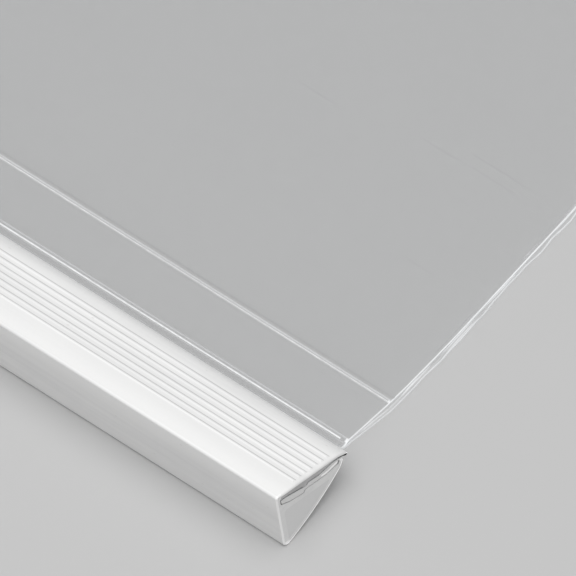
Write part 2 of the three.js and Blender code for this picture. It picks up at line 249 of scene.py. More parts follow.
def rounded(corners: Sequence[Corner], closed: bool = True, steps: int = 7) -> list[Vector]:
    """A line through corners that rounds those with a radius.

    Args:
        corners: The corners in order.
        closed: Whether the last corner joins the first.
        steps: Straight runs in each rounding.

    Returns:
        The line's points.
    """
    points = []
    for i, corner in enumerate(corners):
        at_end = not closed and i in (0, len(corners) - 1)
        if at_end or not corner.radius:
            points.append(corner.point)
            continue
        back = (corners[i - 1].point - corner.point).normalized()
        on = (corners[(i + 1) % len(corners)].point - corner.point).normalized()
        half = back.angle(on) / 2
        reach = corner.radius / math.tan(half)
        centre = corner.point + (back + on).normalized() * corner.radius / math.sin(half)
        points += arc(centre, corner.point + back * reach, corner.point + on * reach, steps)
    return points


@dataclass(frozen=True)
class BarPlane:
    """The tilted plane that the bar's section is drawn in, and where it stands on the table."""

    tilt: float = 22.0
    corner_x: float = -110.03935
    corner_z: float = 13.3076

    def to_table(self, point: Vector) -> Vector:
        """A point of the bar's section, as x and z on the table."""
        turned = Matrix.Rotation(-math.radians(self.tilt), 2) @ point
        return turned + Vector((self.corner_x, self.corner_z))

    def from_table(self, place: Vector) -> Vector:
        """A place in metres, back in the bar's section."""
        offset = Vector((place.x / MM - self.corner_x, place.z / MM - self.corner_z))
        return Matrix.Rotation(math.radians(self.tilt), 2) @ offset

    def stand(self, point: Vector, y: float = 0.0) -> Vector:
        """A place in metres from a point of the bar's section and y along the bar."""
        return place(self.to_table(point), y)

    def on_leaf(self, x: float) -> Vector:
        """A place in metres, that far from the spine corner along the grip leaf's plane."""
        return self.stand(Vector((x, 0.0)))

    @property
    def outwards(self) -> Vector:
        """One millimetre along the grip leaf's plane, away from the spine."""
        return self.on_leaf(1.0) - self.on_leaf(0.0)


def place(point: Vector, y: float) -> Vector:
    """A place in metres from x and z on the table and y along the bar."""
    return Vector((point.x, y, point.y)) * MM


# Modelling


class Piece:
    """One piece on the bench, modelled with Blender's own tools."""

    def __init__(self, name: str, start: Vector) -> None:
        """Starts the piece as a single point.

        Args:
            name: The piece's name.
            start: Where the point lies, in metres.
        """
        bpy.ops.object.select_all(action="DESELECT")
        bpy.ops.mesh.primitive_plane_add(size=MM, location=start)
        self.solid = bpy.context.object
        self.solid.name = name
        self.solid.data.name = name
        bpy.ops.object.transform_apply(location=True, rotation=False, scale=False)
        self.edit()
        bpy.ops.mesh.select_mode(type="VERT")
        bpy.ops.mesh.select_all(action="SELECT")
        bpy.ops.mesh.merge(type="CENTER")

    @classmethod
    def traced(cls, name: str, line: Sequence[Vector], closed: bool) -> "Piece":
        """Draws a section's line at places in metres.

        Args:
            name: The piece's name.
            line: The line's places in order.
            closed: Whether it comes back to its start.

        Returns:
            The piece, in edit mode with its line selected.
        """
        piece = cls(name, line[0])
        route = [*line, line[0]] if closed else list(line)
        for here, there in zip(route, route[1:]):
            step = {"value": tuple(there - here)}
            bpy.ops.mesh.extrude_vertices_move(TRANSFORM_OT_translate=step)
        bpy.ops.mesh.select_all(action="SELECT")
        bpy.ops.mesh.remove_doubles(threshold=1e-7)
        return piece

    def edit(self) -> None:
        """Opens the piece's mesh for editing."""
        bpy.ops.object.mode_set(mode="EDIT")

    def close(self) -> None:
        """Leaves edit mode."""
        bpy.ops.object.mode_set(mode="OBJECT")

    def pull(self, lengths: Sequence[float]) -> None:
        """Extrudes what is selected along the bar.

        Args:
            lengths: One length in millimetres for each step.
        """
        for length in lengths:
            step = {"value": (0, length * MM, 0)}
            bpy.ops.mesh.extrude_region_move(TRANSFORM_OT_translate=step)

    def face_outwards(self) -> None:
        """Turns every face of the closed shape outwards."""
        bpy.ops.mesh.select_all(action="SELECT")
        bpy.ops.mesh.normals_make_consistent(inside=False)

    def round_off(self, width: float, steps: int = 5, affect: str = "EDGES") -> None:
        """Rounds what is selected over a width in millimetres."""
        bpy.ops.mesh.bevel(offset=width * MM, segments=steps, affect=affect, clamp_overlap=False)

    def pick(self, part: Part, wanted: Test) -> None:
        """Selects points, edges or faces by where they are.

        Args:
            part: Which of them.
            wanted: Told each one's middle in metres and its normal, which is nothing for an edge,
                says whether it is selected.
        """
        bpy.ops.mesh.select_mode(type=part.value)
        bpy.ops.mesh.select_all(action="DESELECT")
        mesh = bmesh.from_edit_mesh(self.solid.data)
        if part is Part.FACE:
            found = [(face, face.calc_center_median(), face.normal) for face in mesh.faces]
        elif part is Part.EDGE:
            ends = [(edge, *(vert.co for vert in edge.verts)) for edge in mesh.edges]
            found = [(edge, (first + last) / 2, Vector()) for edge, first, last in ends]
        else:
            found = [(vert, vert.co, vert.normal) for vert in mesh.verts]
        for element, middle, normal in found:
            element.select_set(wanted(middle, normal))
        bmesh.update_edit_mesh(self.solid.data)

    def finish_with(self, kind: str, name: str, **settings: object) -> None:
        """Adds a modifier and applies it.

        Args:
            kind: The modifier's type.
            name: What it does to the piece.
            **settings: Its settings.
        """
        modifier = self.solid.modifiers.new(name, kind)
        for setting, value in settings.items():
            setattr(modifier, setting, value)
        bpy.ops.object.modifier_apply(modifier=modifier.name)

    def cut_with(self, cutter: "Piece") -> None:
        """Cuts another piece out of this one and clears it away.

        Args:
            cutter: The other piece, still in edit mode.
        """
        cutter.close()
        bpy.context.view_layer.objects.active = self.solid
        settings = {"operation": "DIFFERENCE", "solver": "MANIFOLD", "object": cutter.solid}
        self.finish_with("BOOLEAN", "cut", **settings)
        bpy.data.objects.remove(cutter.solid)

    def dress(self, *finishes: Finish) -> None:
        """Gives the piece its finishes, the first one all over."""
        for finish in finishes:
            self.solid.data.materials.append(finish)

    def paint_selected(self, finish: Finish) -> None:
        """Gives the selected faces one of the piece's finishes."""
        self.solid.active_material_index = self.solid.data.materials.find(finish.name)
        bpy.ops.object.material_slot_assign()

    def paint(self, finish: Finish, wanted: Test) -> None:
        """Gives the faces that a test picks one of the piece's finishes."""
        self.pick(Part.FACE, wanted)
        self.paint_selected(finish)

    def smooth(self, degrees: float, by_area: bool = False) -> None:
        """Shades the piece smooth up to an angle.

        Args:
            degrees: Sharper edges stay crisp.
            by_area: Whether broad faces keep their own shading beside narrow roundings.
        """
        bpy.ops.object.shade_smooth_by_angle(angle=math.radians(degrees))
        if by_area:
            self.finish_with("WEIGHTED_NORMAL", "even shading", keep_sharp=True, weight=80)

    def hand_over(self, slot: Slot, stands_for: Sequence[str], ride: str | None) -> None:
        """Fits the piece to the frame and reports it.

        Args:
            slot: The record's material slot that it takes its finish from.
            stands_for: The nodes of the frame that it replaces.
            ride: The body that it moves with, or None where it bends between two.
        """
        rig.slot(self.solid, slot.value)
        if stands_for:
            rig.replaces(self.solid, *stands_for)
        if ride:
            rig.ride(self.solid, ride)
        LOG.info("%s: %d faces", self.solid.name, len(self.solid.data.polygons))


# Finishes


class Signal:
    """A shader value that can be reckoned with in Python."""

    def __init__(self, board: "NodeBoard", socket: bpy.types.NodeSocket) -> None:
        """Wraps an output socket of a node on the board."""
        self.board = board
        self.socket = socket

    def _reckon(self, operation: str, *values: "Signal | float") -> "Signal":
        """A Math node's result for what goes into it, in order."""
        inputs = dict(enumerate(values))
        return self.board.add("ShaderNodeMath", {"operation": operation}, inputs)

    def __add__(self, other: "Signal | float") -> "Signal":
        """self + other."""
        return self._reckon("ADD", self, other)

    __radd__ = __add__

    def __sub__(self, other: "Signal | float") -> "Signal":
        """self - other."""
        return self._reckon("SUBTRACT", self, other)

    def __rsub__(self, other: float) -> "Signal":
        """other - self."""
        return self._reckon("SUBTRACT", other, self)

    def __mul__(self, other: "Signal | float") -> "Signal":
        """self * other."""
        return self._reckon("MULTIPLY", self, other)

    __rmul__ = __mul__

    def __pow__(self, power: float) -> "Signal":
        """self ** power."""
        return self._reckon("POWER", self, power)

    def larger(self, other: "Signal") -> "Signal":
        """The larger of self and other."""
        return self._reckon("MAXIMUM", self, other)

    def over(self, low: float, high: float) -> "Signal":
        """How far the value has come from low to high, smoothly from 0 to 1."""
        inputs = {"Value": self, "From Min": low, "From Max": high}
        return self.board.add("ShaderNodeMapRange", {"interpolation_type": "SMOOTHSTEP"}, inputs)


class NodeBoard:
    """A node tree and the one method that adds its nodes."""

    def __init__(self, tree: bpy.types.NodeTree) -> None:
        """Clears the tree."""
        self.tree = tree
        tree.nodes.clear()

    def add(
        self,
        kind: str,
        settings: dict[str, object] | None = None,
        inputs: dict[str | int, object] | None = None,
        output: str | int = 0,
    ) -> Signal:
        """Adds a node, sets it up and fills or links its sockets.

        Args:
            kind: The node's type.
            settings: Its own settings, set before its sockets.
            inputs: A value, or another node's signal, for each named or numbered socket.
            output: Which output is handed back.

        Returns:
            The node's output, or for a node with no output one that isn't used.
        """
        node = self.tree.nodes.new(kind)
        for setting, value in (settings or {}).items():
            setattr(node, setting, value)
        for name, value in (inputs or {}).items():
            if isinstance(value, Signal):
                self.tree.links.new(value.socket, node.inputs[name])
            else:
                node.inputs[name].default_value = value
        return Signal(self, node.outputs[output] if len(node.outputs) else node.inputs[0])

    def combined(
        self, operation: str, first: Signal, second: Sequence[float], output: str = "Vector"
    ) -> Signal:
        """A Vector Math node's result for a signal and a fixed vector."""
        inputs = {0: first, 1: tuple(second)}
        return self.add("ShaderNodeVectorMath", {"operation": operation}, inputs, output)

    def scaled(self, scale: Sequence[float]) -> Signal:
        """Object coordinates, each times its own scale."""
        where = self.add("ShaderNodeTexCoord", output="Object")
        return self.combined("MULTIPLY", where, scale)

    def stretched(self, size: Size) -> Signal:
        """Object coordinates in units of a pattern's size, in millimetres along each axis."""
        return self.scaled([1 / (part * MM) for part in size])

    def flat(self) -> Signal:
        """Object coordinates without their part along the bar."""
        return self.scaled((1.0, 0.0, 1.0))

    def reach(self, line: Vector) -> Signal:
        """How far a place lies from a line along the bar, all in metres."""
        return self.combined("DISTANCE", self.flat(), line, "Value")

    def noise(self, size: Size, detail: float = 2.0, roughness: float = 0.5) -> Signal:
        """Soft noise, about 0.2 to 0.8, with features of a size in millimetres."""
        inputs = {"Scale": 1.0, "Detail": detail, "Roughness": roughness}
        return self.add("ShaderNodeTexNoise", None, {"Vector": self.stretched(size), **inputs})

    def shader(self, inputs: dict[str | int, object]) -> Signal:
        """A Principled shader."""
        return self.add("ShaderNodeBsdfPrincipled", None, inputs)

    def show(self, surface: Signal) -> None:
        """Sends a shader to the material's surface."""
        self.add("ShaderNodeOutputMaterial", None, {"Surface": surface})

    def blend_colours(self, share: Signal, low: Colour | Signal, high: Colour) -> Signal:
        """A colour between two.

        Args:
            share: How far it is from the first to the second, from 0 to 1.
            low: The first.
            high: The second.

        Returns:
            The colour.
        """
        start = low if isinstance(low, Signal) else (*low, 1.0)
        inputs = {"Factor": share, 6: start, 7: (*high, 1.0)}
        return self.add("ShaderNodeMix", {"data_type": "RGBA"}, inputs, output=2)


def new_material(name: str) -> tuple[Finish, NodeBoard]:
    """A material with an empty node board.

    Args:
        name: The finish's name.

    Returns:
        The material and its board.
    """
    material = bpy.data.materials.new(name)
    material.use_nodes = True
    return material, NodeBoard(material.node_tree)


@dataclass(frozen=True)
class LitEdge:
    """A painted highlight with a painted glow on the bar's end, along the base, at its foot and up the nose."""

    plane: BarPlane
    centre: Vector
    radius: float
    foot: Vector
    nose: float
    base_band: Pair = (0.48, 0.36)
    nose_band: Pair = (0.42, 0.3)
    foot_reach: Pair = (0.9, 1.5)
    foot_share: float = 0.6

    def share(self, board: NodeBoard) -> Signal:
        """How much of the painted highlight and glow a place takes.

        Args:
            board: The finish's node board.

        Returns:
            The share, from 0 to 1.
        """
        stops = [(self.radius - inset) * MM for inset in self.base_band]
        base = board.reach(self.plane.stand(self.centre)).over(*stops)
        stops = [stop * MM for stop in self.foot_reach]
        off = board.reach(self.plane.stand(self.foot)).over(*stops)
        foot = self.foot_share - off * self.foot_share
        way = self.plane.outwards / MM
        across = board.combined("DOT_PRODUCT", board.flat(), way, "Value")
        stops = [(self.nose - inset) * MM for inset in self.nose_band]
        nose = (across - self.plane.on_leaf(0.0).dot(way)).over(*stops)
        return base.larger(foot).larger(nose)


@dataclass(frozen=True)
class SatinPlastic:
    """White satin plastic, drawn through a die, so that fine lines run along it."""

    name: str = "white satin plastic"
    colour: Colour = (0.885, 0.885, 0.88)
    shade: Colour = (0.79, 0.79, 0.79)
    roughness: float = 0.42
    # glow paints light: the plastic glows though it is no lamp; lit_edge and lit paint a highlight towards the lit
    # colour
    glow: float = 0.0
    # Painted highlight: the plastic beside this line, the spine corner, is painted lighter towards the pale colour
    pale_line: Vector | None = None
    lit_edge: LitEdge | None = None
    pale_reach: Size = (0.3, 0.8, 6.5)
    pale: Colour = (0.945, 0.945, 0.94)
    lit: Colour = (0.96, 0.96, 0.95)
    speck: Colour = (0.62, 0.61, 0.59)
    speck_share: float = 0.35
    speck_edge: Pair = (0.035, 0.06)
    speck_size: Size = (2.6, 4.2, 2.6)
    drawn_size: Size = (0.22, 60.0, 0.22)
    grain_size: Size = (0.09, 0.16, 0.09)
    cloud_size: Size = (6.0, 30.0, 6.0)
    cloud_band: Pair = (0.3, 0.7)
    streak_size: Size = (1.6, 70.0, 1.6)
    streak_band: Pair = (0.35, 0.65)
    cloud_dulling: float = 0.12
    drawn_dulling: float = 0.08
    drawn_depth: float = 0.004
    grain_depth: float = 0.003
    relief_strength: float = 0.6
    refraction: float = 1.49

    def make(self) -> Finish:
        """Makes the material.

        Returns:
            The material.
        """
        material, board = new_material(self.name)
        drawn = board.noise(self.drawn_size, detail=3.0)
        grain = board.noise(self.grain_size)
        clouds = board.noise(self.cloud_size, detail=3.0, roughness=0.6)
        streaks = board.noise(self.streak_size, detail=4.0, roughness=0.65)
        where = {"Vector": board.stretched(self.speck_size), "Scale": 1.0}
        specks = 1.0 - board.add("ShaderNodeTexVoronoi", None, where).over(*self.speck_edge)
        tint = (clouds.over(*self.cloud_band) + streaks.over(*self.streak_band)) * 0.5
        base = board.blend_colours(tint, self.shade, self.colour)
        # Painted highlight: the land beside the spine corner is painted lighter
        if self.pale_line:
            off = board.reach(self.pale_line)
            start, full, end = (stop * MM for stop in self.pale_reach)
            share = off.over(start, full) * (1.0 - off.over(full, end))
            base = board.blend_colours(share, base, self.pale)
        base = board.blend_colours(specks * self.speck_share, base, self.speck)
        # Painted highlight: along the lit edge the colour turns to the lit colour and the plastic glows
        glow = (1.0, 1.0, 1.0, 1.0)
        if self.lit_edge:
            shown = self.lit_edge.share(board)
            glow = board.blend_colours(shown, (0.0, 0.0, 0.0), (1.0, 1.0, 1.0))
            base = board.blend_colours(shown, base, self.lit)
        dulled = (clouds - 0.5) * self.cloud_dulling + (drawn - 0.5) * self.drawn_dulling
        height = drawn * self.drawn_depth + grain * self.grain_depth
        relief = {"Strength": self.relief_strength, "Distance": MM, "Height": height}
        inputs = {
            "Base Color": base,
            "Roughness": dulled + self.roughness,
            "IOR": self.refraction,
            "Normal": board.add("ShaderNodeBump", None, relief),
            # Painted glow, where the finish has one
            "Emission Color": glow,
            "Emission Strength": self.glow,
        }
        board.show(board.shader(inputs))
        return material


@dataclass(frozen=True)
class FilmFinish:
    """Clear film, whose faces hold back a share of the light, more in the bands painted along creases and cut edges.
    """

    name: str
    colour: Colour
    cover: float
    roughness: float = 0.1
    glancing: float = 0.35
    unevenness: float = 0.3
    scratches: float = 0.0
    end_streaks: float = 0.0
    # A painted reflection: the colour that the film turns to at glancing angles
    sheen: Colour | None = None
    haze_size: Size = (22.0, 34.0, 22.0)
    grain_size: Size = (0.5, 1.1, 0.5)
    hair_size: Size = (0.7, 26.0, 8.0)
    hair_band: Pair = (0.72, 0.76)
    sheen_band: Pair = (0.2, 0.6)
    edge_power: float = 3.0
    haze_dulling: float = 0.08
    refraction: float = 1.5
    streak: Colour = (0.92, 0.93, 0.94)
    streak_gain: float = 1.4
    streak_size: Size = (11.0, 0.22, 5.0)
    streak_band: Pair = (0.5, 0.62)
    ragged_size: Size = (5.0, 30.0, 30.0)
    ragged_depth: float = 1.2
    streaks_from: Pair = (152.2, 152.9)

    def make(self) -> Finish:
        """Makes the material.

        Returns:
            The material.
        """
        material, board = new_material(self.name)
        haze = board.noise(self.haze_size, detail=4.0, roughness=0.6)
        grain = board.noise(self.grain_size)
        facing = board.add("ShaderNodeLayerWeight", None, {"Blend": 0.5}, output="Facing")
        varied = 1.0 + (haze + grain - 1.0) * self.unevenness
        cover = varied * self.cover + facing**self.edge_power * self.glancing
        if self.scratches:
            hair = board.noise(self.hair_size, detail=1.0)
            cover = cover + hair.over(*self.hair_band) * self.scratches
        colour = (*self.colour, 1.0)
        # Painted reflection of the room at glancing angles
        if self.sheen:
            share = facing.over(*self.sheen_band)
            colour = board.blend_colours(share, self.colour, self.sheen)
        if self.end_streaks:
            streak = self.near_ends(board) * self.end_streaks
            cover = cover + streak
            colour = board.blend_colours(streak * self.streak_gain, colour, self.streak)
        dull = self.roughness + (haze - 0.5) * self.haze_dulling
        surface = board.shader({"Base Color": colour, "Roughness": dull, "IOR": self.refraction})
        clear = board.add("ShaderNodeBsdfTransparent")
        board.show(board.add("ShaderNodeMixShader", None, {0: cover, 1: clear, 2: surface}))
        return material

    def near_ends(self, board: NodeBoard) -> Signal:
        """Where the film is pulled into fine streaks beside its cut ends.

        Args:
            board: The finish's node board.

        Returns:
            The streaks, from 0 to 1.
        """
        where = board.add("ShaderNodeTexCoord", output="Object")
        along = board.add("ShaderNodeSeparateXYZ", None, {0: where}, "Y")
        from_middle = board.add("ShaderNodeMath", {"operation": "ABSOLUTE"}, {0: along})
        ragged = (board.noise(self.ragged_size) - 0.5) * self.ragged_depth * MM
        at_end = (from_middle + ragged).over(*(stop * MM for stop in self.streaks_from))
        return at_end * board.noise(self.streak_size).over(*self.streak_band)


def made(finish: SatinPlastic | FilmFinish) -> Finish:
    """A field whose material is made together with the other finishes."""
    return field(init=False, default_factory=finish.make)


@dataclass
class Finishes:
    """Every finish of the object, made once."""

    # The plastic takes a painted highlight beside the spine corner
    plastic: Finish = made(SatinPlastic(pale_line=BarPlane().on_leaf(0.0)))
    # Painted highlight: lighter plastic with a faint painted glow, for rounded ends and the corner between spine face
    # and base
    rim: Finish = made(
        SatinPlastic("plastic rim", (0.95, 0.95, 0.945), (0.92, 0.92, 0.92), 0.3, 0.07)
    )
    # Painted shade: grey plastic for the leaf's end faces and the slot's walls
    leaf_end: Finish = made(
        SatinPlastic("leaf's sawn end", (0.56, 0.56, 0.56), (0.47, 0.47, 0.47), 0.5)
    )
    rib_shade: Finish = made(
        SatinPlastic("ribs' shaded flanks", (0.66, 0.66, 0.66), (0.58, 0.58, 0.58), 0.5)
    )
    film: Finish = made(FilmFinish("clear film", CLEAR, 0.06, sheen=SHEEN, scratches=0.02))
    pulled_film: Finish = made(
        FilmFinish("clear film, pulled at its ends", CLEAR, 0.06, sheen=SHEEN, end_streaks=0.6)
    )
    # Painted highlight, with the cut's own scatter, along the sheets' cut ends and free edges; the dull edge is the
    # back sheet's dimmer one
    cut_edge: Finish = made(FilmFinish("cut film edge", (0.93, 0.95, 0.96), 0.6, 0.3))
    dull_edge: Finish = made(FilmFinish("dull film edge", (0.84, 0.86, 0.87), 0.42, 0.3))
    # Painted highlight along a crease's ridge
    crease_line: Finish = made(
        FilmFinish("crease line", (0.95, 0.96, 0.97), 0.6, 0.25, unevenness=0.9)
    )
    crease_bed: Finish = made(FilmFinish("crease bed", (0.86, 0.87, 0.88), 0.26, 0.3))
    crease_faint: Finish = made(FilmFinish("faint crease", (0.62, 0.63, 0.65), 0.08))
    seam: Finish = made(FilmFinish("joint in the film", (1.0, 1.0, 1.0), 0.0, glancing=0.0))
    weld: Finish = made(FilmFinish("welded film", (0.62, 0.63, 0.64), 0.75, 0.35))
    weld_end: Finish = made(FilmFinish("welded film end", (0.8, 0.8, 0.795), 0.95, 0.3))
    # Painted highlight: near-white plastic with a painted glow for the weld tail's end faces
    bright_end: Finish = made(
        SatinPlastic("weld's bright end", (0.97, 0.97, 0.965), (0.94, 0.94, 0.94), 0.3, 0.24)
    )


# Slide bar


@dataclass(frozen=True)
class BarBody:
    """The bar's hollow body, with the slot's floor on top and the nose that faces the lip."""

    finishes: Finishes
    plane: BarPlane = field(default_factory=BarPlane)
    length: float = 310.0
    spine_face: float = 13.6
    spine_angle: float = 60.2
    spine_radius: float = 0.35
    base_radius: float = 26.0
    base_corner_radius: float = 0.98
    wall: float = 1.0
    bore_radius: float = 0.4
    nose_reach: float = 15.85
    shoulder_depth: float = 2.9
    shoulder_radius: float = 1.6
    nose_depth: float = 1.36
    nose_radius: float = 0.35
    nose_land: float = 0.95
    land_rounding: float = 0.05
    base_steps: int = 28
    spine_trim: int = 4
    nose_trim: int = 2
    crevice: float = 0.64
    crevice_width: float = 0.2
    crevice_lean: float = 0.04
    crevice_rise: float = 0.1
    floor_rise: float = 12.4
    floor_depth: float = 2.42
    floor_radius: float = 0.5
    floor_step: float = 0.1
    hem_floor: Section = ((7.5, -2.94, 0.1), (5.9, -2.82), (4.0, -2.62), (1.9, -2.1, 0.3))
    bore_roof: float = 2.78
    root_depth: float = 1.15
    leaf_root: float = 1.3
    end_rounding: float = 0.26
    rim_corner: float = 0.75
    # Painted glow on the end's lit edges
    end_glow: float = 0.36
    overrun: float = 1.0
    shading_angle: float = 32.0

    @property
    def base_corner(self) -> Vector:
        """The sharp corner between spine face and base."""
        return heading(-self.spine_angle) * self.spine_face

    @property
    def shoulder(self) -> Vector:
        """The sharp corner between base and nose."""
        return Vector((self.nose_reach, -self.shoulder_depth))

    @property
    def land_start(self) -> float:
        """Where the nose's land begins at the slot."""
        return self.nose_reach - self.nose_land

    @property
    def base_centre(self) -> Vector:
        """Where the base's arc has its centre.

        Returns:
            The point in the section.
        """
        chord = self.shoulder - self.base_corner
        inward = Vector((-chord.y, chord.x)).normalized()
        off = math.sqrt(self.base_radius**2 - chord.length_squared / 4)
        return (self.shoulder + self.base_corner) / 2 + inward * off

    def base_line(self, start: Vector, end: Vector, inset: float) -> list[Corner]:
        """The base's arc, set in, less the stretches that the corner roundings take.

        Args:
            start: Its end at the spine face.
            end: Its end at the nose.
            inset: How far it is set in.

        Returns:
            The arc's points as sharp corners.
        """
        centre, radius = self.base_centre, self.base_radius - inset
        ends = [centre + (point - centre).normalized() * radius for point in (start, end)]
        line = arc(centre, *ends, self.base_steps)[self.spine_trim : -self.nose_trim]
        return [Corner(*point) for point in line]

    def outline(self) -> list[Vector]:
        """The body's outline, by spine face, base and nose and back along the slot's floor.

        Returns:
            The outline's points.
        """
        crevice = self.land_start - self.crevice_lean
        bottom = -self.nose_depth - self.crevice
        crevice_end = crevice - self.crevice_width
        corners = [
            Corner(0.0, 0.0, self.spine_radius),
            Corner(*self.base_corner, self.base_corner_radius),
            *self.base_line(self.base_corner, self.shoulder, 0.0),
            Corner(*self.shoulder, self.shoulder_radius),
            Corner(self.nose_reach, -self.nose_depth, self.nose_radius),
            Corner(self.land_start, -self.nose_depth, self.land_rounding),
            Corner(crevice, bottom),
            Corner(crevice_end, bottom),
            Corner(crevice_end - self.crevice_lean, bottom + self.crevice_rise),
            Corner(self.floor_rise, -self.floor_depth, self.floor_radius),
            Corner(self.hem_floor[0][0] + self.floor_step, -self.floor_depth),
            *(Corner(*row) for row in self.hem_floor),
            Corner(self.leaf_root, -self.root_depth),
            Corner(self.leaf_root, 0.0),
        ]
        return rounded(corners)

    def bore(self, inset: float) -> list[Vector]:
        """The bore's outline, set in from the body's faces.

        Args:
            inset: How far it is set in.

        Returns:
            The outline's points.
        """
        centre = self.base_centre
        radius = self.base_radius - inset
        down = heading(-self.spine_angle)
        spine_line = heading(90 - self.spine_angle) * inset
        roof = -self.bore_roof - inset
        top = spine_line + down * (roof - spine_line.y) / down.y
        middle = (centre - spine_line).dot(down)
        off = (centre - spine_line - down * middle).length
        foot = spine_line + down * (middle + math.sqrt(radius**2 - off**2))
        heel = Vector((centre.x + math.sqrt(radius**2 - (roof - centre.y) ** 2), roof))
        corners = [
            Corner(*top, self.bore_radius),
            Corner(*foot, self.bore_radius),
            *self.base_line(foot, heel, inset),
            Corner(*heel, self.bore_radius),
        ]
        return rounded(corners)

    def in_slot(self, middle: Vector, past_land: float) -> bool:
        """Whether a place in metres is on the slot's walls, or that far past the land's start."""
        at, lowest = self.plane.from_table(middle), self.hem_floor[0][1] - SLACK
        return self.leaf_root - SLACK < at.x < self.land_start + past_land and at.y > lowest

    def extruded(self, name: str, outline: Sequence[Vector], near: float, *runs: float) -> Piece:
        """A closed section pulled along the bar.

        Args:
            name: The piece's name.
            outline: The section's points.
            near: Where it starts along y.
            *runs: How far it is pulled in each step.

        Returns:
            The piece, in edit mode.
        """
        places = [self.plane.stand(point, near) for point in outline]
        piece = Piece.traced(name, places, closed=True)
        bpy.ops.mesh.edge_face_add()
        piece.pull(runs)
        piece.face_outwards()
        return piece

    def build(self) -> None:
        """Builds the body: extruded, rounded round both ends and bored."""
        finishes, half = self.finishes, self.length / 2
        body = self.extruded("bar_body", self.outline(), -half, self.length)
        end = (half - SLACK) * MM
        body.pick(Part.EDGE, lambda at, _normal: abs(at.y) > end and not self.in_slot(at, 0.0))
        body.round_off(self.end_rounding)
        # The end faces take a painted highlight and glow along base, foot and nose
        edge = LitEdge(
            self.plane, self.base_centre, self.base_radius, self.base_corner, self.nose_reach
        )
        lit = SatinPlastic("bar's sawn end", glow=self.end_glow, lit_edge=edge).make()
        body.dress(finishes.plastic, finishes.rim, lit, finishes.leaf_end)

        def on_rim(middle: Vector, normal: Vector) -> bool:
            """Whether a face rounds an end or the corner between spine face and base."""
            off, turn = self.plane.from_table(middle) - self.base_corner, abs(normal.y)
            return off.length < self.rim_corner if turn < ALONG_BAR else turn < ACROSS_BAR

        def on_wall(middle: Vector, normal: Vector) -> bool:
            """Whether a face is one of the slot's walls."""
            return abs(normal.y) < ALONG_BAR and self.in_slot(middle, SLACK)

        # Painted highlight on the rounded ends and on the corner between spine face and base
        body.paint(finishes.rim, on_rim)
        body.paint(lit, lambda _middle, normal: abs(normal.y) > ACROSS_BAR)
        # Painted shade on the slot's walls
        body.paint(finishes.leaf_end, on_wall)
        body.close()
        past, bore = half + self.overrun, self.bore(self.wall)
        body.cut_with(self.extruded("bore", bore, -past, 2 * past))
        body.smooth(self.shading_angle, by_area=True)
        body.hand_over(Slot.PLASTIC, ["slide_bar"], "bar")


@dataclass(frozen=True)
class EndPlug:
    """A cup that closes the bore at one end, flush with the bar's end."""

    body: BarBody
    end: BarEnd
    depth: float = 5.0
    face: float = 1.2
    skirt: float = 0.8
    gap: float = 0.012
    recess: float = 0.015

    def build(self) -> None:
        """Builds the cup: extruded, with its pocket cut from behind."""
        outside = self.end.value * (self.body.length / 2 - self.recess)
        near = outside if self.end is BarEnd.NEAR else outside - self.depth
        name, inset = self.end.name.lower(), self.body.wall + self.gap
        outline, pocket = self.body.bore(inset), self.body.bore(inset + self.skirt)
        plug = self.body.extruded(f"{name}_plug", outline, near, self.depth)
        plug.close()
        pocket_near = near - self.end.value * self.face
        plug.cut_with(self.body.extruded("pocket", pocket, pocket_near, self.depth))
        plug.dress(self.body.finishes.plastic)
        plug.smooth(self.body.shading_angle)
        plug.hand_over(Slot.PLASTIC, [f"{name}_end_plug"], "bar")


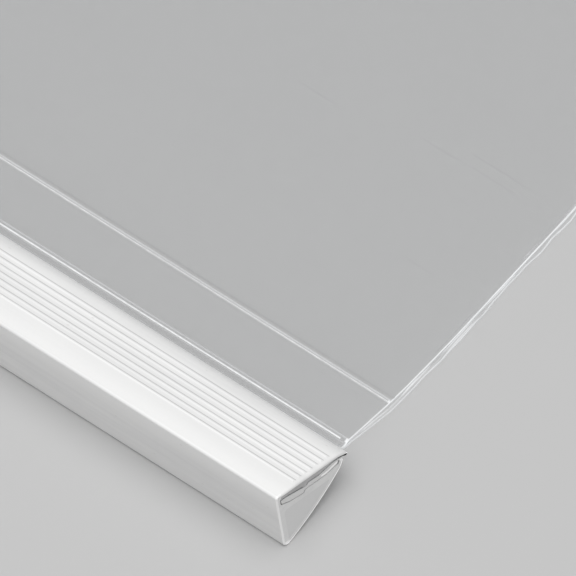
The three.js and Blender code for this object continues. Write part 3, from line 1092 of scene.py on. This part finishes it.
@dataclass(frozen=True)
class GripLeaf:
    """The ribbed leaf over the slot, with its tooth below and its lip bent down over the nose."""

    body: BarBody
    straight: float = 13.2
    root_thick: float = 0.95
    root_flat: float = 3.0
    outer_thick: float = 1.42
    inner_thick: float = 1.12
    root_radius: float = 1.5
    belly: Pair = (10.2, 1.22)
    belly_radius: float = 2.0
    bend_steps: int = 16
    bend_thick: float = 0.55
    lip_radius: float = 6.5
    lip_bend: float = 31.0
    lip_edge: float = 0.24
    tip_steps: int = 4
    tooth_at: float = 6.7
    tooth_width: float = 0.85
    tooth_tip: float = 0.65
    tooth_depth: float = 1.64
    tooth_radius: float = 0.12
    heel_radius: float = 0.06
    flex_run: float = 1.2
    flex_steps: int = 6
    flex_end: float = 3.6
    rib_count: int = 7
    rib_pitch: float = 1.26
    rib_width: float = 0.56
    rib_flank: float = 0.17
    rib_height: float = 0.12
    rib_lean: float = 0.04
    rib_foot: float = 0.17
    last_rib: float = 12.4
    rib_end: float = 0.55
    rib_rounding: float = 0.05
    end_rounding: float = 0.4
    shade_turn: float = 0.35
    sawn_turn: float = 0.99

    def on_top(self, distance: float, depth: float = 0.0) -> Vector:
        """A point of the section, told from the top face.

        Args:
            distance: How far it lies along the face.
            depth: How deep below it.

        Returns:
            The point.
        """
        if distance <= self.straight:
            return Vector((distance, -depth))
        turn = (distance - self.straight) / self.lip_radius
        radius = self.lip_radius - depth
        return Vector(
            (self.straight + radius * math.sin(turn), radius * math.cos(turn) - self.lip_radius)
        )

    def along_top(self, middle: Vector) -> tuple[float, float]:
        """Where a place lies, told from the top face.

        Args:
            middle: The place in metres.

        Returns:
            How far along the face and how deep below it, in millimetres.
        """
        point = self.body.plane.from_table(middle)
        if point.x <= self.straight:
            return point.x, -point.y
        spoke = point - Vector((self.straight, -self.lip_radius))
        turn = math.atan2(spoke.x, spoke.y)
        return self.straight + turn * self.lip_radius, self.lip_radius - spoke.length

    @property
    def rib_middles(self) -> list[float]:
        """Where the ribs lie along the top face."""
        return [self.last_rib - i * self.rib_pitch for i in reversed(range(self.rib_count))]

    def outline(self) -> list[Vector]:
        """The leaf's section without its ribs, from its root along the top and back underneath.

        Returns:
            The section's points.
        """
        root = self.body.leaf_root
        cap = self.lip_edge / 2
        tip = self.straight + self.lip_radius * math.radians(self.lip_bend) - cap
        steps = self.flex_steps
        flexing = [root + self.flex_run * i / steps for i in range(steps + 1)]
        half = self.rib_width / 2
        stops = (-half, half, half + self.rib_foot)
        edges = [rib + past for rib in self.rib_middles for past in stops]
        steps = self.bend_steps
        lip = [edges[-1] + (tip - edges[-1]) * i / steps for i in range(1, steps + 1)]
        top = [self.on_top(distance) for distance in [*flexing, self.flex_end, *edges, *lip]]
        tip_middle = self.on_top(tip, cap)
        outermost = tip_middle + (self.on_top(tip) - tip_middle).yx * Vector((1, -1))
        inner = self.on_top(tip, self.lip_edge)
        nose_down = arc(tip_middle, self.on_top(tip), outermost, self.tip_steps)[1:]
        nose_back = arc(tip_middle, outermost, inner, self.tip_steps)[1:]
        under = []
        for i in reversed(range(steps)):
            share = i / steps
            thick = self.bend_thick + (self.lip_edge - self.bend_thick) * share
            under.append(self.on_top(self.straight + (tip - self.straight) * share, thick))
        tooth = [
            Corner(self.straight, -self.bend_thick),
            Corner(self.belly[0], -self.belly[1], self.belly_radius),
            Corner(self.tooth_at + self.tooth_width, -self.inner_thick, self.tooth_radius),
            Corner(self.tooth_at + self.tooth_tip, -self.tooth_depth, self.tooth_radius),
            Corner(self.tooth_at, -self.tooth_depth, self.heel_radius),
            Corner(self.tooth_at, -self.outer_thick, self.heel_radius),
            Corner(self.root_flat, -self.root_thick, self.root_radius),
            Corner(root, -self.root_thick),
        ]
        back = [Vector((x, -self.root_thick)) for x in reversed(flexing)]
        return [*top, *nose_down, *nose_back, *under, *rounded(tooth, closed=False)[1:-1], *back]

    def build(self) -> None:
        """Builds the leaf: extruded, its ribs raised from the top face and its ends rounded."""
        finishes, half = self.body.finishes, self.body.length / 2
        ribbed = half - self.rib_end
        outwards = self.body.plane.outwards
        runs = (self.rib_end, 2 * ribbed, self.rib_end)
        leaf = self.body.extruded("grip_leaf_ribbed", self.outline(), -half, *runs)

        def under_rib(middle: Vector, _normal: Vector) -> bool:
            """Whether a face of the top is where a rib stands.

            Args:
                middle: The face's middle.
                _normal: Its normal, which makes no difference.

            Returns:
                Whether it is.
            """
            distance, depth = self.along_top(middle)
            near = min(abs(distance - rib) for rib in self.rib_middles)
            return near < SLACK and abs(depth) < SLACK and abs(middle.y) < ribbed * MM

        leaf.pick(Part.FACE, under_rib)
        bpy.ops.mesh.inset(
            thickness=self.rib_flank * MM, depth=self.rib_height * MM, use_boundary=True
        )
        bpy.ops.transform.translate(value=outwards * self.rib_lean)
        bpy.ops.mesh.region_to_loop()
        leaf.round_off(self.rib_rounding, steps=2)

        def on_end(middle: Vector, _normal: Vector) -> bool:
            """Whether an edge lies along the top face's end."""
            _distance, depth = self.along_top(middle)
            return abs(middle.y) > (half - SLACK) * MM and abs(depth) < 2 * SLACK

        leaf.pick(Part.EDGE, on_end)
        leaf.round_off(self.end_rounding)
        leaf.dress(finishes.plastic, finishes.leaf_end, finishes.rib_shade)

        def in_shade(middle: Vector, normal: Vector) -> bool:
            """Whether a face is a rib's flank towards the lip, or lies at that flank's foot.

            Args:
                middle: The face's middle.
                normal: Its normal.

            Returns:
                Whether it is.
            """
            distance, depth = self.along_top(middle)
            if depth < -SLACK:
                return normal.dot(outwards) > self.shade_turn * outwards.length
            past = [distance - rib - self.rib_width / 2 for rib in self.rib_middles]
            at_foot = any(0.0 < gap < self.rib_foot for gap in past)
            return at_foot and depth < SLACK and abs(middle.y) < ribbed * MM

        leaf.paint(finishes.rib_shade, in_shade)
        # Painted shade on the leaf's end faces
        leaf.paint(finishes.leaf_end, lambda _middle, normal: abs(normal.y) > self.sawn_turn)
        leaf.close()
        leaf.smooth(self.body.shading_angle, by_area=True)
        leaf.hand_over(Slot.PLASTIC, ["grip_leaf"], None)
        root = self.body.leaf_root
        stops = (self.body.plane.on_leaf(x) for x in (root, root + self.flex_run))
        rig.blend(leaf.solid, "bar", "leaf", *stops)


# Sheets


@dataclass(frozen=True)
class Mark:
    """A band painted along a crease, in millimetres past the crease's own line.

    It can fade out short of the film's cut ends.
    """

    start: float
    end: float
    finish: Finish
    fades: bool = False


@dataclass(frozen=True)
class Sheet:
    """One clear sheet: its margin out of the slot, a creased strip and the cover itself."""

    body: BarBody
    side: SheetSide
    plain: Finish
    cut_edge: Finish
    above_pair: float
    spine_crease: Vector
    strip_fall: float
    settled: float
    free_edge: Vector
    lift: float
    wander: float
    spine_marks: tuple[Mark, ...]
    cover_marks: tuple[Mark, ...]
    film: float = 0.2
    length: float = 307.0
    shading_angle: float = 40.0
    strip: float = 9.0
    settle_run: float = 18.0
    settle_steps: int = 14
    flat_steps: int = 230
    rows: int = 38
    slot_mouth: Pair = (15.675, -1.10)
    over_nose: Pair = (16.55, -1.55)
    over_radius: float = 2.0
    dip: Pair = (18.1, -2.1)
    dip_radius: float = 1.1
    crease_half: float = 0.75
    crease_height: float = 0.035
    ridge_foot: float = 0.1
    bend_share: float = 0.95
    cut_band: float = 0.17
    free_band: float = 0.5
    seam_turn: float = 0.8
    swell_run: float = 30.0
    swell_cloud: Cloud = (0.035, 1)
    wander_run: float = 3.0
    wander_cloud: Cloud = (0.0045, 3)
    crease_end: float = 0.45
    fade_end: float = 1.15
    corner_radius: float = 4.0
    crease_gap: float = 1.0

    def in_pair(self, point: Pair) -> Vector:
        """This sheet's own x and z on the table where the pair passes a point of the section."""
        return self.body.plane.to_table(Vector((point[0], point[1] + self.above_pair)))

    @property
    def cut(self) -> float:
        """How far from the middle the bands of the cut ends begin, in metres."""
        return (self.length / 2 - self.cut_band) * MM

    @property
    def crease_1(self) -> Vector:
        """The spine crease, as x and z on the table."""
        return self.body.plane.to_table(self.spine_crease)

    @property
    def crease_2(self) -> Vector:
        """The cover's crease, as x and z on the table."""
        return self.crease_1 + self.strip_way * self.strip

    @property
    def strip_way(self) -> Vector:
        """The direction in which the strip falls from the spine."""
        return heading(-self.strip_fall)

    @property
    def margin_end(self) -> tuple[Vector, Vector]:
        """The margin's lowest point on the table, and its way from there to the spine crease."""
        dip = self.in_pair(self.dip)
        return dip, (self.crease_1 - dip).normalized()

    @property
    def cover_way(self) -> Vector:
        """The direction in which the cover leaves its crease."""
        drop = self.crease_2.y - self.settled
        return Vector((self.settle_run, -2 * drop)).normalized()

    def name(self, part: str) -> str:
        """A piece's name."""
        return f"{self.side.value}_{part}"

    def ribbon(self, name: str, path: Sequence[Vector], rows: Sequence[float]) -> Piece:
        """A sheet's middle face, drawn across the bar and pulled along it.

        Args:
            name: The piece's name.
            path: Its points, as x and z on the table.
            rows: The lengths of its rows along the bar.

        Returns:
            The piece, in edit mode, with every face upwards and plain film all over.
        """
        ribbon = Piece.traced(name, [place(point, -self.length / 2) for point in path], False)
        ribbon.pull(rows)
        ribbon.face_outwards()
        mesh = bmesh.from_edit_mesh(ribbon.solid.data)
        mesh.faces.ensure_lookup_table()
        if mesh.faces[0].normal.z < 0:
            bpy.ops.mesh.flip_normals()
        coats = self.body.finishes
        creases = (coats.crease_line, coats.crease_bed, coats.crease_faint)
        ribbon.dress(self.plain, self.cut_edge, *creases, coats.seam)
        return ribbon

    def straight(self, name: str, path: Sequence[Vector]) -> Piece:
        """A piece that runs straight along the bar, with its cut ends marked.

        Args:
            name: The piece's name.
            path: Its points, as x and z on the table.

        Returns:
            The piece, in edit mode.
        """
        ends = [self.cut_band, self.crease_end - self.cut_band, self.fade_end - self.crease_end]
        rows = [*ends, self.length - 2 * self.fade_end, *reversed(ends)]
        ribbon = self.ribbon(name, path, rows)
        ribbon.paint(self.cut_edge, lambda at, _normal: abs(at.y) > self.cut)
        return ribbon

    def complete(self, ribbon: Piece, stands_for: Sequence[str], ride: str | None) -> None:
        """Gives the middle face, still in edit mode, the film's thickness and hands it over.

        Args:
            ribbon: The piece.
            stands_for: The nodes of the frame that it replaces.
            ride: The body that it moves with, or None where it bends between two.
        """
        ribbon.close()
        settings = {"thickness": self.film * MM, "offset": 0.0, "use_even_offset": True}
        ribbon.finish_with("SOLIDIFY", "film thickness", **settings)
        ribbon.edit()
        free, turn = (self.free_edge.x - self.free_band) * MM, self.seam_turn
        seam = self.body.finishes.seam
        ribbon.paint(seam, lambda at, normal: abs(normal.x) > turn and at.x < free)
        ribbon.close()
        ribbon.smooth(self.shading_angle)
        ribbon.solid.visible_shadow = False
        ribbon.hand_over(Slot.FILM, stands_for, ride)

    def margin(self) -> None:
        """Builds the margin between the slot and the spine crease."""
        dip, rise = self.margin_end
        start, over = self.in_pair(self.slot_mouth), self.in_pair(self.over_nose)
        end = self.crease_1 - rise * self.crease_half
        over, dip = Corner(*over, self.over_radius), Corner(*dip, self.dip_radius)
        path = rounded([Corner(*start), over, dip, Corner(*end)], closed=False)
        margin = self.straight(self.name("margin"), path)
        self.complete(margin, ["welded_spine_edge"], "spine_edge")

    def crease(
        self,
        name: str,
        middle: Vector,
        ways: tuple[Vector, Vector],
        bodies: tuple[str, str],
        marks: Sequence[Mark],
    ) -> None:
        """Builds a pressed crease: a low ridge with bands beside it.

        Args:
            name: The piece's name.
            middle: The crease's line, as x and z on the table.
            ways: The film's directions before and after it.
            bodies: The bodies that it bends between.
            marks: The bands painted along it, with the raised one first.
        """
        ridge = marks[0]
        stops = {-self.crease_half, 0.0, self.crease_half}
        stops |= {ridge.start - self.ridge_foot, ridge.end + self.ridge_foot}
        stops |= {mark.start for mark in marks} | {mark.end for mark in marks}
        path = {}
        for stop in sorted(stops):
            way = ways[0] if stop < 0 else ways[1]
            if stop == 0:
                way = (ways[0] + ways[1]).normalized()
            rise = self.crease_height if ridge.start <= stop <= ridge.end else 0.0
            path[stop] = middle + way * stop + Vector((-way.y, way.x)) * rise
        piece = self.straight(name, list(path.values()))

        def paint(finish: Finish, band: Pair, ends: Pair) -> None:
            """Paints the faces in a band, between two distances from the bar's middle."""
            (low, high), (near, far) = band, ends
            piece.paint(finish, lambda at, _normal: low < at.x < high and near < abs(at.y) < far)

        for mark in marks:
            band = (path[mark.start].x * MM, path[mark.end].x * MM)
            until = self.length / 2 * MM - self.fade_end * MM if mark.fades else self.cut
            paint(mark.finish, band, (-1.0, until))
        # Painted highlight: on the front sheet the ridge's highlight runs on to the cut ends
        if self.side is SheetSide.FRONT:
            band = ((middle.x + ridge.start) * MM, (middle.x + self.ridge_foot) * MM)
            ends = ((self.length / 2 - self.crease_end) * MM, self.cut)
            paint(self.body.finishes.crease_line, band, ends)
        self.complete(piece, [], None)
        reach = self.crease_half * self.bend_share
        start = place(middle - ways[0] * reach, 0.0)
        end = place(middle + ways[1] * reach, 0.0)
        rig.blend(piece.solid, *bodies, start, end)

    def hinge_strip(self) -> None:
        """Builds the strip between the two creases."""
        inset = self.strip_way * self.crease_half
        path = [self.crease_1 + inset, self.crease_2 - inset]
        name = self.name("strip")
        self.complete(self.straight(name, path), [self.name("hinge_strip")], name)

    def cover(self) -> None:
        """Builds the cover: it settles on a curve and runs on to the free edge."""
        crease = self.crease_2
        drop = crease.y - self.settled
        path = [crease + self.cover_way * self.crease_half]
        for i in range(1, self.settle_steps + 1):
            x = self.settle_run * i / self.settle_steps
            height = self.settled + drop * (1 - x / self.settle_run) ** 2
            path.append(Vector((crease.x + x, height)))
        settled, steps = path[-1], self.flat_steps
        path += [settled.lerp(self.free_edge, i / steps) for i in range(1, steps + 1)]
        cover = self.ribbon(self.name("sheet"), path, [self.length / self.rows] * self.rows)
        free, near = (self.free_edge.x - SLACK) * MM, (self.length / 2 - SLACK) * MM
        cover.pick(Part.POINT, lambda at, _normal: at.x > free and abs(at.y) > near)
        cover.round_off(self.corner_radius, steps=8, affect="VERTICES")
        bpy.ops.mesh.select_mode(type="FACE")
        bpy.ops.mesh.select_all(action="SELECT")
        bpy.ops.mesh.inset(thickness=self.cut_band * MM, use_boundary=True)
        bpy.ops.mesh.select_all(action="INVERT")
        cover.paint_selected(self.cut_edge)
        joint = (path[0].x + 2 * self.cut_band) * MM
        cover.paint(self.plain, lambda at, _normal: at.x < joint and abs(at.y) < self.cut)
        cover.close()
        self.roughen(cover)
        cover.edit()
        self.complete(cover, [self.name("cover")], self.name("panel"))

    def roughen(self, cover: Piece) -> None:
        """Lets the cover lie a little unevenly and its cut ends wander along the bar.

        Args:
            cover: The cover's middle face.
        """
        start = self.crease_2.x + self.crease_gap
        inner = (self.length / 2 - 2 * self.cut_band) * MM

        def past_crease(at: Vector, run: float) -> float:
            """How far a place has come over a run that starts at the crease, from 0 to 1."""
            return min(max((at.x / MM - start) / run, 0.0), 1.0)

        def stray(name: str, shares: Sequence[float], cloud: Cloud, **how: object) -> None:
            """Moves the cover's points by a pattern of clouds.

            Args:
                name: The pattern's name.
                shares: How much it moves each point, from 0 to 1.
                cloud: The pattern's scale in metres and its depth.
                **how: In which direction and how far it moves them.
            """
            group = cover.solid.vertex_groups.new(name=name)
            for index, share in enumerate(shares):
                group.add([index], share, "REPLACE")
            clouds = bpy.data.textures.new(self.name(name), "CLOUDS")
            clouds.noise_scale, clouds.noise_depth = cloud
            how |= {"texture": clouds, "texture_coords": "GLOBAL", "vertex_group": group.name}
            cover.finish_with("DISPLACE", name, **how)

        places = [vertex.co.copy() for vertex in cover.solid.data.vertices]
        shares = [past_crease(at, self.swell_run) for at in places]
        shares = [share * share * (3 - 2 * share) for share in shares]
        how = {"direction": "Z", "mid_level": 0.0, "strength": self.lift * MM}
        stray("swell", shares, self.swell_cloud, **how)
        shares = [past_crease(at, self.wander_run) if abs(at.y) > inner else 0.0 for at in places]
        how = {"direction": "Y", "mid_level": 0.5, "strength": self.wander * MM}
        stray("wander", shares, self.wander_cloud, **how)

    def build(self) -> None:
        """Builds the sheet from the slot to its free edge."""
        strip, panel = self.name("strip"), self.name("panel")
        self.margin()
        ways, bodies = (self.margin_end[1], self.strip_way), ("spine_edge", strip)
        self.crease(self.name("spine_crease"), self.crease_1, ways, bodies, self.spine_marks)
        self.hinge_strip()
        ways, bodies = (self.strip_way, self.cover_way), (strip, panel)
        self.crease(self.name("cover_crease"), self.crease_2, ways, bodies, self.cover_marks)
        self.cover()


@dataclass(frozen=True)
class WeldedEdge:
    """Both sheets' margins and the folded hem inside the slot, welded into one strip."""

    body: BarBody
    shorter: float = 0.055
    hem: Section = (
        (2.12, -2.02, 0.3), (4.02, -2.55), (5.9, -2.75), (7.39, -2.87, 0.12), (7.51, -2.35),
        (12.35, -2.35), (14.53, -1.82), (14.58, -1.54), (12.31, -2.17), (11.04, -2.17),
        (11.04, -1.89), (12.19, -1.85), (14.44, -1.23), (14.62, -1.29, 0.03),
        (15.675, -1.29), (15.675, -0.93), (14.9, -0.97, 0.3), (13.2, -0.9, 0.6),
        (10.2, -1.56, 1.0), (7.81, -1.46, 0.14), (7.8, -1.8, 0.05), (6.49, -1.8),
        (6.49, -1.75, 0.02), (3.0, -1.31, 0.5), (1.56, -1.31, 0.14),
    )
    tail: Section = (
        (11.05, -2.16), (12.31, -2.16), (14.57, -1.53),
        (14.44, -1.24), (12.19, -1.86), (11.05, -1.9),
    )

    def build(self) -> None:
        """Builds the hem with its margins, and the tail between them, whose ends take a painted highlight."""
        self.strip("welded_edge", self.hem, self.body.finishes.weld_end)
        self.strip("weld_tail", self.tail, self.body.finishes.bright_end)

    def strip(self, name: str, section: Section, end: Finish) -> None:
        """Builds one strip of the weld along the slot.

        Args:
            name: The strip's name.
            section: Its corners, some with a rounding's radius.
            end: The finish of its two ends.
        """
        half = self.body.length / 2 - self.shorter
        outline = rounded([Corner(*row) for row in section])
        edge = self.body.extruded(name, outline, -half, 2 * half)
        edge.dress(self.body.finishes.weld, end)
        edge.paint(end, lambda _middle, normal: abs(normal.y) > ACROSS_BAR)
        edge.close()
        edge.smooth(self.body.shading_angle)
        edge.hand_over(Slot.FILM, ["welded_spine_edge"], "spine_edge")


# Studio


@dataclass(frozen=True)
class Studio:
    """A plain pale floor, soft light from above and the camera at the photograph's angle."""

    floor_colour: Colour = (0.52, 0.52, 0.52)
    floor_size: float = 30.0
    floor_gap: float = 0.05
    floor_cloud: Size = (60.0, 60.0, 60.0)
    floor_shade: float = 0.985
    floor_roughness: float = 0.9
    key_power: float = 20.5
    key_size: float = 1.3
    key_place: Size = (-0.35, -0.3, 1.5)
    ambient: float = 0.38
    aim: Size = (-78.54, -132.78, 4.66)
    azimuth: float = -52.6
    elevation: float = 55.3
    distance: float = 3.0
    lens: float = 1462.5
    clip: Pair = (0.01, 100.0)

    def floor(self) -> None:
        """Lays a wide pale floor just under the cover."""
        bpy.ops.object.select_all(action="DESELECT")
        middle = (0.0, 0.0, -self.floor_gap * MM)
        bpy.ops.mesh.primitive_plane_add(size=self.floor_size, location=middle)
        floor = bpy.context.object
        floor.name = "floor"
        bpy.ops.object.transform_apply(location=True, rotation=False, scale=False)
        material, board = new_material("pale floor")
        clouds = board.noise(self.floor_cloud, detail=3.0)
        low = tuple(self.floor_shade * part for part in self.floor_colour)
        colour = board.blend_colours(clouds, low, self.floor_colour)
        board.show(board.shader({"Base Color": colour, "Roughness": self.floor_roughness}))
        floor.data.materials.append(material)
        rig.stage(floor)

    def light(self) -> None:
        """Hangs one large soft light over the cover and gives the room an even glow."""
        bpy.ops.object.light_add(type="AREA", location=self.key_place)
        key = bpy.context.object
        key.name = "overhead softbox"
        key.data.energy = self.key_power
        key.data.shape = "SQUARE"
        key.data.size = self.key_size
        key.rotation_euler = (-key.location).to_track_quat("-Z", "Y").to_euler()
        world = bpy.data.worlds.new("plain room")
        bpy.context.scene.world = world
        world.use_nodes = True
        board = NodeBoard(world.node_tree)
        seen = board.add("ShaderNodeLightPath", output="Is Camera Ray")
        strength = self.ambient + seen * (self.floor_colour[0] - self.ambient)
        inputs = {"Color": (1.0, 1.0, 1.0, 1.0), "Strength": strength}
        glow = board.add("ShaderNodeBackground", None, inputs)
        board.add("ShaderNodeOutputWorld", None, {"Surface": glow})

    def camera(self) -> None:
        """Sets the camera where the photograph was taken from."""
        azimuth, elevation = math.radians(self.azimuth), math.radians(self.elevation)
        level = math.cos(elevation)
        side = (math.sin(azimuth) * level, -math.cos(azimuth) * level)
        back = Vector((*side, math.sin(elevation)))
        bpy.ops.object.camera_add(location=Vector(self.aim) * MM + back * self.distance)
        camera = bpy.context.object
        camera.name = "photograph's view"
        camera.rotation_euler = back.to_track_quat("Z", "Y").to_euler()
        camera.data.lens = self.lens
        camera.data.clip_start, camera.data.clip_end = self.clip
        bpy.context.scene.camera = camera

    def build(self) -> None:
        """Sets up floor, light and camera."""
        self.floor()
        self.light()
        self.camera()
        bpy.context.scene.view_settings.view_transform = "Standard"


def note_sizes(cad: tuple[Vector, Vector], looks: tuple[Vector, Vector]) -> None:
    """Writes the boxes of the CAD model and of the finished looks.

    Args:
        cad: The CAD model's lowest and highest corner.
        looks: The same of what is shown at the end.
    """
    boxes = {"cad": [list(corner) for corner in cad], "visual": [list(corner) for corner in looks]}
    with open("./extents.json", "w", encoding="utf-8") as file:
        json.dump(boxes, file)


def main() -> None:
    """Builds the slide bar, the sheets and the studio in order."""
    logging.basicConfig(level=logging.INFO, format="%(name)s: %(message)s", force=True)
    cad_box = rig.bounds()
    finishes = Finishes()
    # line is the painted highlight along a crease's ridge
    line, bed, faint = finishes.crease_line, finishes.crease_bed, finishes.crease_faint
    body = BarBody(finishes)
    front = Sheet(
        body,
        SheetSide.FRONT,
        finishes.film,
        finishes.cut_edge,
        above_pair=0.101,
        spine_crease=Vector((19.2, -1.25)),
        strip_fall=10.8,
        settled=2.1,
        free_edge=Vector((body.plane.corner_x + 219.49, 0.6)),
        lift=0.3,
        wander=0.12,
        spine_marks=(
            Mark(-0.52, -0.36, line, fades=True),
            Mark(-0.72, -0.66, bed),
            Mark(-0.04, 0.05, bed),
        ),
        cover_marks=(Mark(-0.36, -0.24, line), Mark(0.02, 0.24, bed)),
    )
    back = Sheet(
        body,
        SheetSide.BACK,
        finishes.pulled_film,
        finishes.dull_edge,
        above_pair=-0.101,
        spine_crease=Vector((19.85, -2.0)),
        strip_fall=18.0,
        settled=0.6,
        free_edge=Vector((body.plane.corner_x + 219.99, 0.1)),
        lift=0.45,
        wander=0.9,
        spine_marks=(Mark(-0.06, 0.06, faint),),
        cover_marks=(Mark(-0.06, 0.06, faint),),
    )
    plugs = [EndPlug(body, end) for end in BarEnd]
    for assembly in (body, GripLeaf(body), *plugs, WeldedEdge(body), front, back, Studio()):
        assembly.build()
    note_sizes(cad_box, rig.bounds())


if __name__ == "__main__":
    main()
